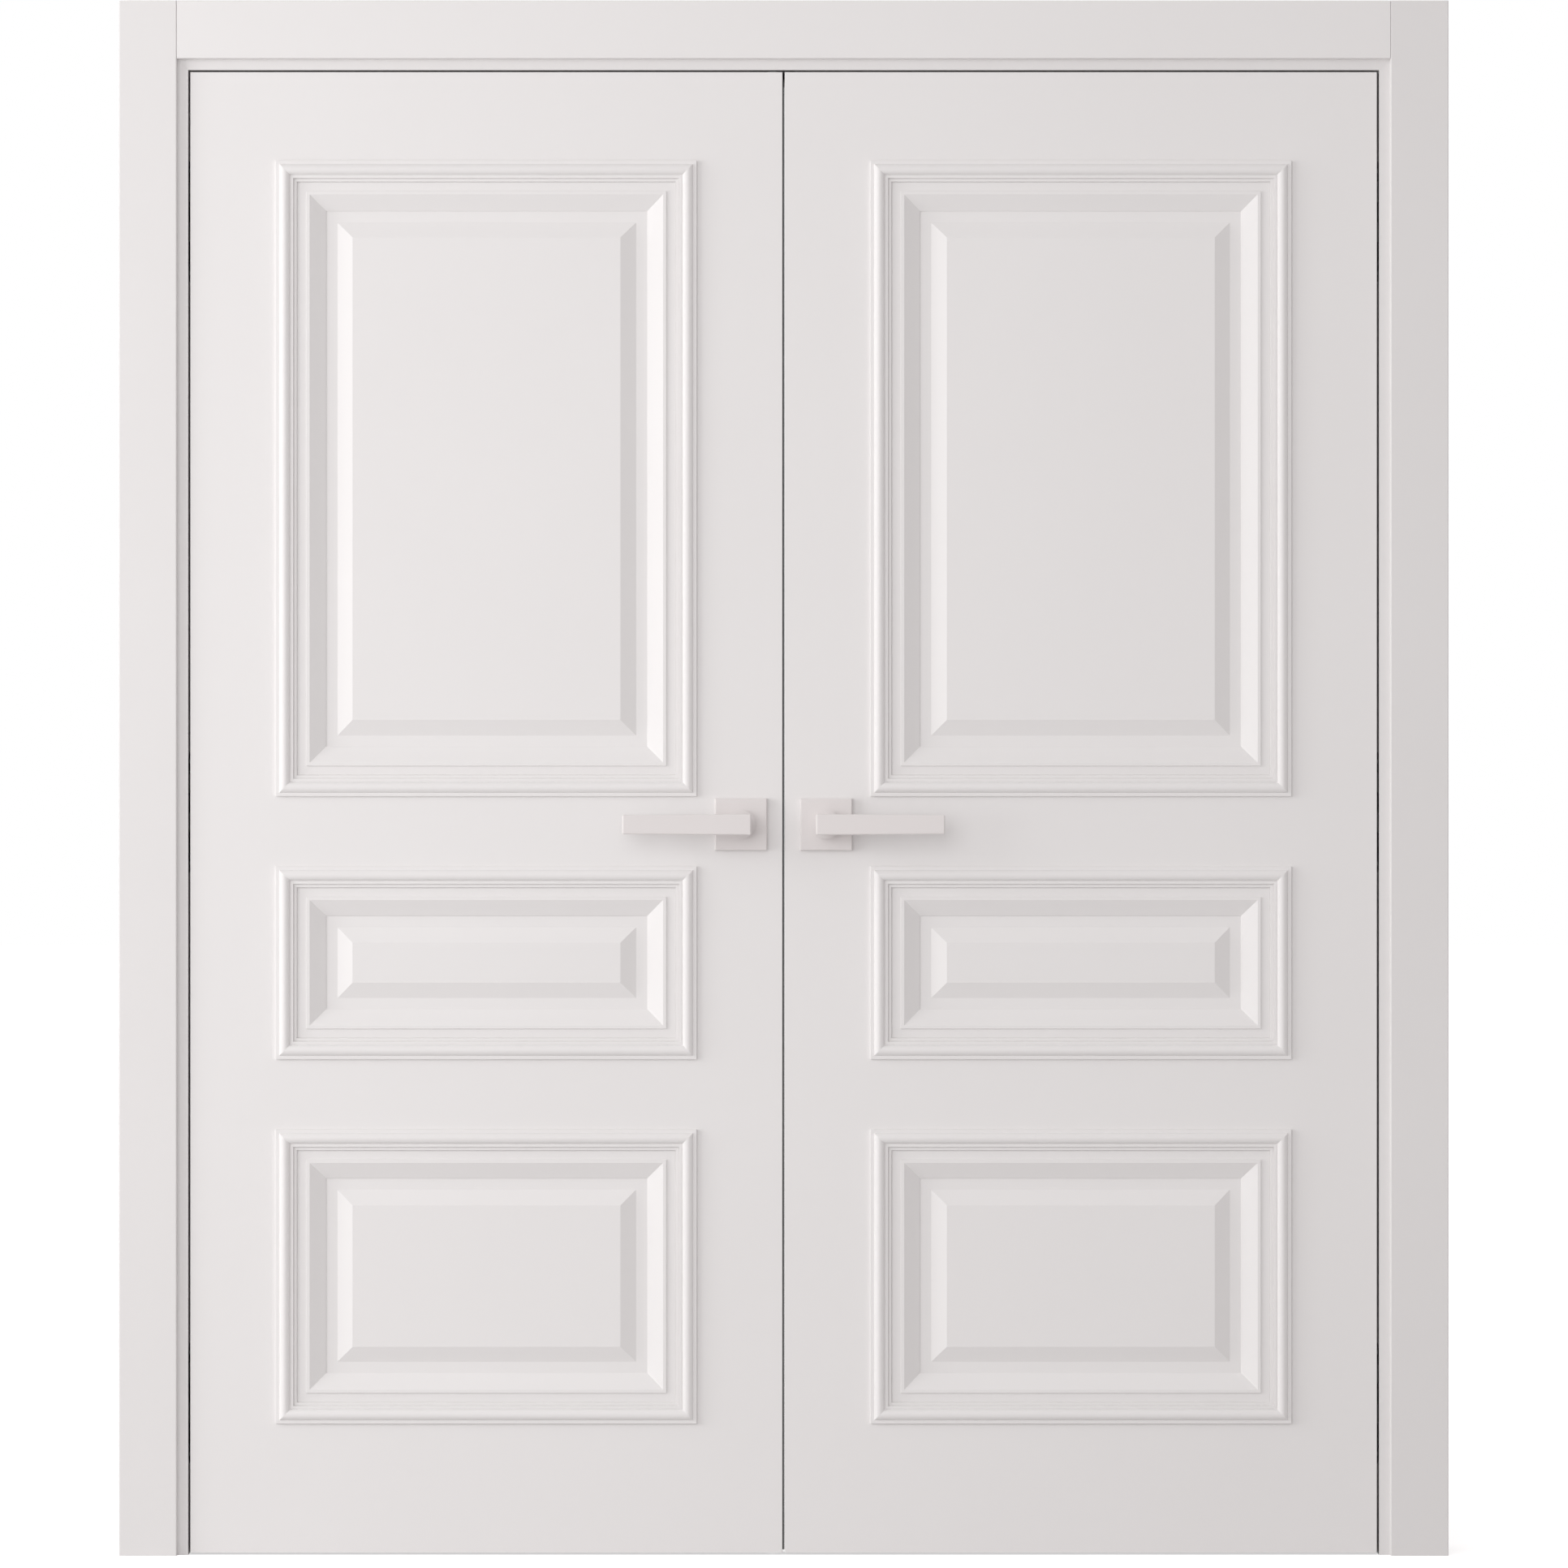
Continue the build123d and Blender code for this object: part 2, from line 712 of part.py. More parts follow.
# Strike plate of the passive leaf, built at the right and mirrored with its leaf
strike_plate, strike_screws = edge_plate(forend_z, forend_height)
strike_pocket = block(
    lock_x - overrun,
    lock_x + strike_pocket_depth,
    latch_y0 - strike_clearance,
    latch_y1 + strike_clearance,
    latch_z0 - strike_clearance,
    latch_z1 + strike_clearance,
)
passive_lock_stile = lock_stile - strike_plate - strike_pocket
strike_plate -= strike_pocket
for one in strike_screws:
    strike_plate -= one
    passive_lock_stile -= one


# Flush bolts of the passive leaf: a rod with a thumb piece that shows through a slot in the edge plate
bolt_x = lock_x + bolt_inset


def measured_from(end_z, sign, start, stop):
    first = end_z + sign * start
    second = end_z + sign * stop
    return min(first, second), max(first, second)


def flush_bolt(end_z, sign):
    rod_z0, rod_z1 = measured_from(end_z, sign, bolt_rest_inset, bolt_length)
    bore_z0, bore_z1 = measured_from(end_z, sign, -overrun, bolt_length + bolt_clearance)
    plate_mid = end_z + sign * (bolt_plate_start + bolt_plate_height / 2)
    plate, screws = edge_plate(plate_mid, bolt_plate_height)
    thumb_start = bolt_thumb_end - bolt_thumb_height
    thumb_z0, thumb_z1 = measured_from(end_z, sign, thumb_start, bolt_thumb_end)
    slot_start = thumb_start - bolt_throw - bolt_clearance
    slot_z0, slot_z1 = measured_from(end_z, sign, slot_start, bolt_thumb_end + bolt_clearance)
    half = bolt_thumb_width / 2
    bolt = rod_z(bolt_x, mid_depth, rod_z0, rod_z1, bolt_diameter)
    bolt += block(lock_x + bolt_thumb_sink, bolt_x, mid_depth - half, mid_depth + half, thumb_z0, thumb_z1)
    wide = half + bolt_clearance
    slot = block(lock_x - overrun, bolt_x, mid_depth - wide, mid_depth + wide, slot_z0, slot_z1)
    bore = rod_z(bolt_x, mid_depth, bore_z0, bore_z1, bolt_diameter + 2 * bolt_clearance)
    cutters = [plate, slot, bore] + screws
    plate = plate - slot
    for one in screws:
        plate -= one
    return bolt, plate, screws, cutters


top_bolt, top_bolt_plate, top_bolt_screws, top_cutters = flush_bolt(leaf_top, -1)
bottom_bolt, bottom_bolt_plate, bottom_bolt_screws, bottom_cutters = flush_bolt(leaf_bottom, 1)
for cutter in top_cutters + bottom_cutters:
    passive_lock_stile -= cutter


# Brush seal in a groove of the meeting edge
def meeting_seal(reach):
    y0 = meeting_seal_depth - meeting_seal_thickness / 2
    y1 = meeting_seal_depth + meeting_seal_thickness / 2
    return block(lock_x - reach, lock_x + meeting_seal_foot, y0, y1, leaf_bottom, leaf_top)


active_seal = meeting_seal(active_seal_reach)
passive_seal = meeting_seal(passive_seal_reach)
active_lock_stile -= active_seal
passive_lock_stile -= passive_seal


# Nodes of the frame
parts = {
    "jamb_left": flip(right_jamb),
    "jamb_right": right_jamb,
    "head_jamb": head_jamb,
    "front_casing_left": flip(front_side_casing),
    "front_casing_right": front_side_casing,
    "front_casing_head": front_head_casing,
    "back_casing_left": flip(back_side_casing),
    "back_casing_right": back_side_casing,
    "back_casing_head": back_head_casing,
    "frame_stops": group([flip(side_stop), side_stop, head_stop]),
    "frame_seals": group([flip(side_seal), side_seal, head_seal]),
    "head_keep": head_keep,
    "hinge_frame_cups": group([flip(cup) for cup in right_cups] + right_cups),
    "frame_screws": group([flip(one) for one in right_cup_screws] + right_cup_screws + keep_screws),
}

# Nodes that both leaves have, the left leaf being the mirror image of the right one
shared = {
    "hinge_stile": [hinge_stile],
    "rails": rails,
    "dowels": dowels,
    "upper_panel": [panels["upper"]],
    "middle_panel": [panels["middle"]],
    "lower_panel": [panels["lower"]],
    "front_mouldings": front_mouldings,
    "back_mouldings": back_mouldings,
    "hinge_leaf_cups": leaf_cups,
    "hinge_frame_arms": right_frame_arms,
    "hinge_leaf_arms": right_leaf_arms,
    "front_rose": [rose],
    "back_rose": [to_back(rose)],
    "front_lever": [front_lever],
    "back_lever": [to_back(front_lever)],
    "spindle": [spindle],
}
for name, solids in shared.items():
    parts["right_" + name] = group(solids) if len(solids) > 1 else solids[0]
    mirrored = [flip(solid) for solid in solids]
    parts["left_" + name] = group(mirrored) if len(mirrored) > 1 else mirrored[0]

# Nodes of the active right leaf and of the passive left leaf
passive_screws = leaf_cup_screws + strike_screws + top_bolt_screws + bottom_bolt_screws
parts["right_lock_stile"] = active_lock_stile
parts["right_meeting_seal"] = active_seal
parts["right_screws"] = group(leaf_cup_screws + forend_screws)
parts["lock_case"] = lock_case
parts["lock_forend"] = forend_plate
parts["lock_follower"] = lock_follower
parts["latch_bolt"] = latch_bolt
parts["left_lock_stile"] = flip(passive_lock_stile)
parts["left_meeting_seal"] = flip(passive_seal)
parts["left_screws"] = group([flip(one) for one in passive_screws])
parts["strike_plate"] = flip(strike_plate)
parts["top_bolt"] = flip(top_bolt)
parts["bottom_bolt"] = flip(bottom_bolt)
parts["bolt_plates"] = group([flip(top_bolt_plate), flip(bottom_bolt_plate)])

for name, shape in parts.items():
    export_step(shape.moved(Pos(0, depth_shift, 0)), os.path.join("parts", name + ".step"))
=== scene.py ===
import math

import bmesh
import bpy
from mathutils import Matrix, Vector


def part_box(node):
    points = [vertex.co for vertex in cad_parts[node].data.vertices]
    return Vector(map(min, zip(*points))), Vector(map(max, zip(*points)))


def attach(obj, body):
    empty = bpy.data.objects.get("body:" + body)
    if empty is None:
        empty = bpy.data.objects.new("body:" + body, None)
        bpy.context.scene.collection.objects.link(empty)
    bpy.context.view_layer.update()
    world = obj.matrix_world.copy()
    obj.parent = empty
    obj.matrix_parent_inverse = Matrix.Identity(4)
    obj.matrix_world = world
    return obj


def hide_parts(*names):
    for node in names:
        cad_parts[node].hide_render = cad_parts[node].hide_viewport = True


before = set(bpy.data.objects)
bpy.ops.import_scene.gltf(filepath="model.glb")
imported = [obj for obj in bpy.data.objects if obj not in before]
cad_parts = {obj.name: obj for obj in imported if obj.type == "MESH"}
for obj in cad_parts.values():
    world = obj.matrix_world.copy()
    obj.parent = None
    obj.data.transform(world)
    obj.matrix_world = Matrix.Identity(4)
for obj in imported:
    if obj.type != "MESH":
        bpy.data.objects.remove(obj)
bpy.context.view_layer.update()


# Jambs and head: three boards that line the doorway, mitred at the top corners.
# Faced fibreboard, sprayed with two coats of satin white enamel and screwed to the wall
# through packing; the enamel shows a faint orange peel and slight clouding of its tone.
def add(tree, kind, inputs=None, **settings):
    """Add a node. Each of its inputs is a plain value, or an output that is joined to it."""
    node = tree.nodes.new(kind)
    for name, setting in settings.items():
        setattr(node, name, setting)
    for socket, value in (inputs or {}).items():
        if isinstance(value, bpy.types.NodeSocket):
            tree.links.new(value, node.inputs[socket])
        else:
            node.inputs[socket].default_value = value
    return node


class Finish:
    """A material with patterns on Object coordinates that drive its tone, gloss and relief."""

    def __init__(self, name, **constants):
        self.material = bpy.data.materials.new(name)
        self.material.use_nodes = True
        self.tree = self.material.node_tree
        self.shader = self.tree.nodes["Principled BSDF"]
        self.place = add(self.tree, "ShaderNodeTexCoord").outputs["Object"]
        for socket, value in constants.items():
            self.shader.inputs[socket].default_value = value

    def noise(self, scale, detail, stretch=None):
        place = self.place
        if stretch:
            drawn_out = add(self.tree, "ShaderNodeMapping", {"Vector": place, "Scale": stretch})
            place = drawn_out.outputs["Vector"]
        inputs = {"Vector": place, "Scale": scale, "Detail": detail}
        return add(self.tree, "ShaderNodeTexNoise", inputs).outputs["Fac"]

    def tone(self, pattern, first, second):
        inputs = {"Factor": pattern, "A": (*first, 1.0), "B": (*second, 1.0)}
        mixed = add(self.tree, "ShaderNodeMix", inputs, data_type="RGBA")
        self.tree.links.new(mixed.outputs["Result"], self.shader.inputs["Base Color"])

    def gloss(self, pattern, smoothest, dullest):
        inputs = {"Value": pattern, "To Min": smoothest, "To Max": dullest}
        ranged = add(self.tree, "ShaderNodeMapRange", inputs)
        self.tree.links.new(ranged.outputs["Result"], self.shader.inputs["Roughness"])

    def relief(self, pattern, strength, height):
        inputs = {"Height": pattern, "Strength": strength, "Distance": height}
        bumps = add(self.tree, "ShaderNodeBump", inputs)
        self.tree.links.new(bumps.outputs["Normal"], self.shader.inputs["Normal"])


def spray_enamel(name, pale, deep, smoothest=0.52, dullest=0.62, peel_height=0.00008):
    enamel = Finish(name)
    enamel.tone(enamel.noise(scale=2.6, detail=3.0), pale, deep)
    enamel.gloss(enamel.noise(scale=38.0, detail=4.0), smoothest, dullest)
    enamel.relief(enamel.noise(scale=420.0, detail=2.0), strength=0.3, height=peel_height)
    return enamel.material


def dress(material, *names):
    for name in names:
        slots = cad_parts[name].data.materials
        slots.clear()
        slots.append(material)


# The frame enamel is the leaves' enamel made a shade darker. This is painted shade, matched to
# the jambs where the casings shade them, and worn by the whole frame except the head casing.
frame_enamel_painted_shade = spray_enamel(
    "frame_enamel_painted_shade",
    pale=(0.772, 0.757, 0.754),
    deep=(0.748, 0.731, 0.728),
)
dress(frame_enamel_painted_shade, "jamb_left", "jamb_right", "head_jamb")


# Stops: three strips planted on the jambs and the head, which the leaves close against.
# Same board and same enamel as the jambs, grooved along the front for the seals.
dress(frame_enamel_painted_shade, "frame_stops")


# Rebate seals: black rubber tubes pressed into the groove of the stops.
# They close the joint round the leaves and make its line look black from the front.
def matt_seal(name, colour, worn_colour):
    seal = Finish(name, Roughness=0.72)
    grain = seal.noise(scale=260.0, detail=3.0)
    seal.tone(grain, colour, worn_colour)
    seal.relief(grain, strength=0.4, height=0.0001)
    return seal.material


black_rubber = matt_seal("black_rubber", (0.012, 0.012, 0.013), (0.028, 0.027, 0.027))
dress(black_rubber, "frame_seals")


# Casings: flat boards round the doorway on both sides of the wall, the head butted between
# the sides. Enamelled fibreboard with softened front edges, held by a tongue in the groove
# of the jambs. The side boards wear the darker frame enamel, which is painted shade, and the
# head board the paler enamel of the leaves, which is painted light: the head reads lighter, as
# if lit more brightly.
white_enamel = spray_enamel(
    "white_enamel",
    pale=(0.812, 0.797, 0.794),
    deep=(0.788, 0.771, 0.768),
)
for face in ("front", "back"):
    dress(frame_enamel_painted_shade, face + "_casing_left", face + "_casing_right")
    # Painted light: the head casing keeps the paler leaf enamel, so that it reads lighter than
    # the side casings, as a more brightly lit top would.
    dress(white_enamel, face + "_casing_head")


# Concealed hinges: three a side, a cup let into the jamb, a cup let into the leaf, and two
# sets of arms. Cast zinc with a black nickel plate; the cast skin keeps a fine grain, and
# the pins are pressed in.
def plated_metal(name, bright, dull):
    plate = Finish(name, Metallic=1.0)
    stain = plate.noise(scale=30.0, detail=4.0)
    plate.tone(stain, bright, dull)
    plate.gloss(stain, smoothest=0.30, dullest=0.48)
    plate.relief(plate.noise(scale=900.0, detail=3.0), strength=0.35, height=0.00006)
    return plate.material


black_nickel = plated_metal("black_nickel", (0.085, 0.083, 0.084), (0.055, 0.054, 0.055))
dress(black_nickel, "hinge_frame_cups")
for side in ("left", "right"):
    dress(
        black_nickel,
        side + "_hinge_leaf_cups",
        side + "_hinge_frame_arms",
        side + "_hinge_leaf_arms",
    )


# Stiles and rails: the solid framework of each leaf, jointed flush and dowelled.
# Softwood core under fibreboard, enamelled after glueing, so that no joint line shows.
for side in ("left", "right"):
    dress(white_enamel, side + "_hinge_stile", side + "_lock_stile", side + "_rails")


# Dowels: fluted beech pins glued into the ends of the rails.
# Bare wood with its grain along the pin, hidden once the leaf is together.
def bare_beech(name, early, late):
    wood = Finish(name, Roughness=0.62)
    grain = wood.noise(scale=1.0, detail=5.0, stretch=(12.0, 260.0, 260.0))
    wood.tone(grain, early, late)
    wood.relief(grain, strength=0.3, height=0.0001)
    return wood.material


beech = bare_beech("beech", (0.64, 0.44, 0.27), (0.50, 0.32, 0.18))
dress(beech, "left_dowels", "right_dowels")


# Raised panels: three to a leaf, floating in the grooves of the framework.
# Fibreboard with a bevelled field cut on each face, enamelled with the rest of the leaf.
panel_levels = ("upper", "middle", "lower")
for side in ("left", "right"):
    for level in panel_levels:
        dress(white_enamel, f"{side}_{level}_panel")


# Bolection mouldings: a ring round each panel on both faces, four mitred strips to a ring.
# Moulded fibreboard, rebated over the edge of the framework, glued and enamelled with the
# leaf: fillet, bead, two steps, band, lip and bevel, with a quirk at the foot of each step.
moulding_sizes = {
    "Fillet width": 0.0047,
    "Fillet height": 0.0046,
    "Bead width": 0.0143,
    "Bead crown": 0.006721,
    "Bead height": 0.0096,
    "Step width": 0.0045,
    "Upper step height": 0.0050,
    "Lower step height": 0.0023,
    "Band width": 0.0130,
    "Band height": -0.0004,
    "Lip width": 0.0043,
    "Lip height": 0.0018,
    "Bevel width": 0.0214,
    "Toe height": -0.0093,
    "Foot height": -0.0105,
    "Overlap": 0.0140,
    "Quirk width": 0.0010,
    "Quirk depth": 0.0006,
    "Arris": 0.00025,
}
bead_facets = 26
arris_facets = 3
mitre_stretch = math.sqrt(2.0)
weld_distance = 0.000002


def new_tree(name, start, sizes, result):
    """A Geometry Nodes tree with inputs for its start, its sizes and its finish."""
    tree = bpy.data.node_groups.new(name, "GeometryNodeTree")
    kinds = {start: "NodeSocketGeometry"}
    for label, size in sizes.items():
        kinds[label] = "NodeSocketVector" if isinstance(size, tuple) else "NodeSocketFloat"
    kinds["Finish"] = "NodeSocketMaterial"
    for label, kind in kinds.items():
        socket = tree.interface.new_socket(label, in_out="INPUT", socket_type=kind)
        if label in sizes:
            socket.default_value = sizes[label]
    tree.interface.new_socket(result, in_out="OUTPUT", socket_type="NodeSocketGeometry")
    return tree, tree.nodes.new("NodeGroupInput").outputs


def end_tree(tree, shape, finish, result):
    real = add(tree, "GeometryNodeRealizeInstances", {"Geometry": shape})
    inputs = {"Geometry": real.outputs["Geometry"], "Material": finish}
    painted = add(tree, "GeometryNodeSetMaterial", inputs)
    add(tree, "NodeGroupOutput", {result: painted.outputs["Geometry"]})


def reckon(tree, operation, first, second):
    return add(tree, "ShaderNodeMath", {0: first, 1: second}, operation=operation).outputs[0]


def vector(tree, x, y, z):
    return add(tree, "ShaderNodeCombineXYZ", {"X": x, "Y": y, "Z": z}).outputs["Vector"]


def stored(tree, name, data_type):
    inputs = {"Name": name}
    kept = add(tree, "GeometryNodeInputNamedAttribute", inputs, data_type=data_type)
    return kept.outputs["Attribute"]


def together(tree, *parts):
    joined = add(tree, "GeometryNodeJoinGeometry")
    for part in parts:
        tree.links.new(part, joined.inputs["Geometry"])
    return joined.outputs["Geometry"]


def moulding_tree():
    tree, given = new_tree("mitred_moulding", "Path", moulding_sizes, "Moulding")

    def plus(first, second):
        return reckon(tree, "ADD", first, second)

    def point(across, height):
        return vector(tree, height, across, 0.0)

    def quirk(start, surface):
        bottom = reckon(tree, "SUBTRACT", surface, given["Quirk depth"])
        end = plus(start, given["Quirk width"])
        return [point(start, bottom), point(end, bottom), point(end, surface)]

    crown = plus(given["Fillet width"], given["Bead crown"])
    bead_end = plus(given["Fillet width"], given["Bead width"])
    step_end = plus(bead_end, given["Step width"])
    band_start = plus(step_end, given["Step width"])
    lip_start = plus(band_start, given["Band width"])
    lip_end = plus(lip_start, given["Lip width"])
    toe = plus(lip_end, given["Bevel width"])
    bead_start = point(given["Fillet width"], given["Fillet height"])
    bead_stop = point(bead_end, given["Upper step height"])
    corners = [
        bead_stop,
        *quirk(bead_end, given["Upper step height"]),
        point(step_end, given["Upper step height"]),
        *quirk(step_end, given["Lower step height"]),
        point(band_start, given["Lower step height"]),
        *quirk(band_start, given["Band height"]),
        point(lip_start, given["Band height"]),
        point(lip_start, given["Lip height"]),
        point(lip_end, given["Lip height"]),
        point(toe, given["Toe height"]),
        point(toe, given["Foot height"]),
        point(given["Overlap"], given["Foot height"]),
        point(given["Overlap"], 0.0),
        point(0.0, 0.0),
        point(0.0, given["Fillet height"]),
        bead_start,
    ]

    # The bead is an arc over its crown, and the rest of the section a line with softened
    # arrises.
    arc = {
        "Resolution": bead_facets,
        "Start": bead_start,
        "Middle": point(crown, given["Bead height"]),
        "End": bead_stop,
    }
    bead = add(tree, "GeometryNodeCurveArc", arc, mode="POINTS")
    choice = add(tree, "GeometryNodeIndexSwitch", data_type="VECTOR")
    while len(choice.index_switch_items) < len(corners):
        choice.index_switch_items.new()
    number = add(tree, "GeometryNodeInputIndex")
    for socket, output in enumerate([number.outputs["Index"], *corners]):
        tree.links.new(output, choice.inputs[socket])
    row = add(tree, "GeometryNodeMeshLine", {"Count": len(corners)})
    inputs = {"Geometry": row.outputs["Mesh"], "Position": choice.outputs["Output"]}
    placed = add(tree, "GeometryNodeSetPosition", inputs)
    line = add(tree, "GeometryNodeMeshToCurve", {"Mesh": placed.outputs["Geometry"]})
    rounding = {
        "Curve": line.outputs["Curve"],
        "Count": arris_facets,
        "Radius": given["Arris"],
        "Limit Radius": True,
    }
    softened = add(tree, "GeometryNodeFilletCurve", rounding, mode="POLY")
    section = together(tree, bead.outputs["Curve"], softened.outputs["Curve"])

    # The section runs along each ring, turned inwards, and is stretched at the corners
    # into true mitres.
    path = add(tree, "GeometryNodeMeshToCurve", {"Mesh": given["Path"]})
    here = add(tree, "GeometryNodeInputPosition").outputs["Position"]
    inputs = {"Geometry": path.outputs["Curve"], "Name": "ring_corner", "Value": here}
    settings = {"data_type": "FLOAT_VECTOR", "domain": "POINT"}
    kept = add(tree, "GeometryNodeStoreNamedAttribute", inputs, **settings)
    inputs = {"Curve": kept.outputs["Geometry"], "Profile Curve": section}
    sweep = add(tree, "GeometryNodeCurveToMesh", inputs)
    corner = stored(tree, "ring_corner", "FLOAT_VECTOR")
    away = add(tree, "ShaderNodeVectorMath", {0: here, 1: corner}, operation="SUBTRACT")
    inputs = {0: away.outputs[0], 1: (-mitre_stretch, 1.0, -mitre_stretch), 2: corner}
    stretched = add(tree, "ShaderNodeVectorMath", inputs, operation="MULTIPLY_ADD")
    inputs = {"Geometry": sweep.outputs["Mesh"], "Position": stretched.outputs[0]}
    mitred = add(tree, "GeometryNodeSetPosition", inputs)
    inputs = {"Geometry": mitred.outputs["Geometry"], "Distance": weld_distance}
    closed = add(tree, "GeometryNodeMergeByDistance", inputs)
    end_tree(tree, closed.outputs["Geometry"], given["Finish"], "Moulding")
    return tree


def made_by_nodes(name, start_mesh, tree, values):
    """The plain mesh that a tree makes from a start mesh, as a piece of its own."""
    maker = bpy.data.objects.new(name + "_maker", start_mesh)
    bpy.context.scene.collection.objects.link(maker)
    modifier = maker.modifiers.new("maker", "NODES")
    modifier.node_group = tree
    for socket in tree.interface.items_tree:
        if socket.in_out == "INPUT" and socket.name in values:
            modifier[socket.identifier] = values[socket.name]
    ready = maker.evaluated_get(bpy.context.evaluated_depsgraph_get())
    mesh = bpy.data.meshes.new_from_object(ready)
    bpy.data.objects.remove(maker)
    bpy.data.meshes.remove(start_mesh)
    mesh.name = name
    mesh.materials.clear()
    mesh.materials.append(values["Finish"])
    piece = bpy.data.objects.new(name, mesh)
    bpy.context.scene.collection.objects.link(piece)
    return piece


# A ring's outer edge lies this far outside the tongue of its panel.
ring_overhang = 0.003


def ring_paths(side, face_y, facing):
    corners = []
    edges = []
    for level in panel_levels:
        low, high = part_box(f"{side}_{level}_panel")
        left, right = low.x - ring_overhang, high.x + ring_overhang
        bottom, top = low.z - ring_overhang, high.z + ring_overhang
        ring = [(left, bottom), (right, bottom), (right, top), (left, top)]
        if facing > 0:
            # A ring on the back runs the other way round, so that its section faces the back.
            ring = [ring[1], ring[0], ring[3], ring[2]]
        first, count = len(corners), len(ring)
        corners += [(x, face_y, z) for x, z in ring]
        edges += [(first + i, first + (i + 1) % count) for i in range(count)]
    mesh = bpy.data.meshes.new("ring_paths")
    mesh.from_pydata(corners, edges, [])
    return mesh


# Edges sharper than this angle stay crisp, and so do the mitres, whose edges join points of
# one corner.
crisp_angle = math.radians(32.0)
same_corner = 0.0001


def crisp_mitres(mesh):
    shell = bmesh.new()
    shell.from_mesh(mesh)
    bmesh.ops.recalc_face_normals(shell, faces=shell.faces)
    corner = shell.verts.layers.float_vector["ring_corner"]
    for face in shell.faces:
        face.smooth = True
    for edge in shell.edges:
        first, second = edge.verts
        on_mitre = (first[corner] - second[corner]).length < same_corner
        edge.smooth = not on_mitre and edge.calc_face_angle(0.0) < crisp_angle
    shell.to_mesh(mesh)
    shell.free()
    mesh.attributes.remove(mesh.attributes["ring_corner"])


moulding_maker = moulding_tree()
for side in ("left", "right"):
    leaf_low, leaf_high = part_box(side + "_rails")
    for face, face_y, facing in (("front", leaf_low.y, -1), ("back", leaf_high.y, 1)):
        name = f"{side}_{face}_mouldings"
        rings = made_by_nodes(
            "mitred_" + name,
            ring_paths(side, face_y, facing),
            moulding_maker,
            {**moulding_sizes, "Finish": white_enamel},
        )
        crisp_mitres(rings.data)
        even = rings.modifiers.new("even_shading", "WEIGHTED_NORMAL")
        even.keep_sharp = True
        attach(rings, side + "_leaf")
        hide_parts(name)


# Spindles, lock, strike, keep and flush bolts: the working metal in the meeting edges and
# the head. Sheet and bar of stainless steel, brushed along their length and let in flush.
def brushed_steel(name, bright, dull, stretch):
    steel = Finish(name, Metallic=1.0)
    brush_marks = steel.noise(scale=1.0, detail=4.0, stretch=stretch)
    steel.tone(brush_marks, bright, dull)
    steel.gloss(brush_marks, smoothest=0.24, dullest=0.42)
    steel.relief(brush_marks, strength=0.25, height=0.00004)
    return steel.material


stainless = brushed_steel(
    "stainless",
    bright=(0.66, 0.66, 0.66),
    dull=(0.52, 0.52, 0.525),
    stretch=(2200.0, 2200.0, 30.0),
)
dress(
    stainless,
    "left_spindle",
    "right_spindle",
    "lock_case",
    "lock_forend",
    "lock_follower",
    "strike_plate",
    "top_bolt",
    "bottom_bolt",
    "bolt_plates",
    "head_keep",
)


# Latch bolt: the quiet kind, of pale moulded nylon on a round tail, sprung out of the forend.
# It has the fine matt texture of its mould.
def moulded_nylon(name, pale, deep):
    nylon = Finish(name, Roughness=0.5)
    cells = add(nylon.tree, "ShaderNodeTexVoronoi", {"Vector": nylon.place, "Scale": 1400.0})
    nylon.tone(cells.outputs["Distance"], pale, deep)
    nylon.relief(cells.outputs["Distance"], strength=0.3, height=0.00008)
    return nylon.material


pale_nylon = moulded_nylon("pale_nylon", (0.72, 0.72, 0.70), (0.64, 0.64, 0.62))
dress(pale_nylon, "latch_bolt")


# Screws: countersunk wood screws that hold the hinge cups, the keep, the forend, the strike
# and the bolt plates. Steel, cold headed with a cross recess, zinc plated, and driven flush
# with the plates.
screw_sizes = {
    "Head diameter": 0.0070,
    "Head height": 0.0024,
    "Shank diameter": 0.0036,
    "Tip diameter": 0.0014,
    "Recess span": 0.0042,
    "Recess width": 0.0010,
    "Recess depth": 0.0015,
}
head_facets = 24
shank_facets = 12
long_shank = 0.0176
short_shank = 0.0056


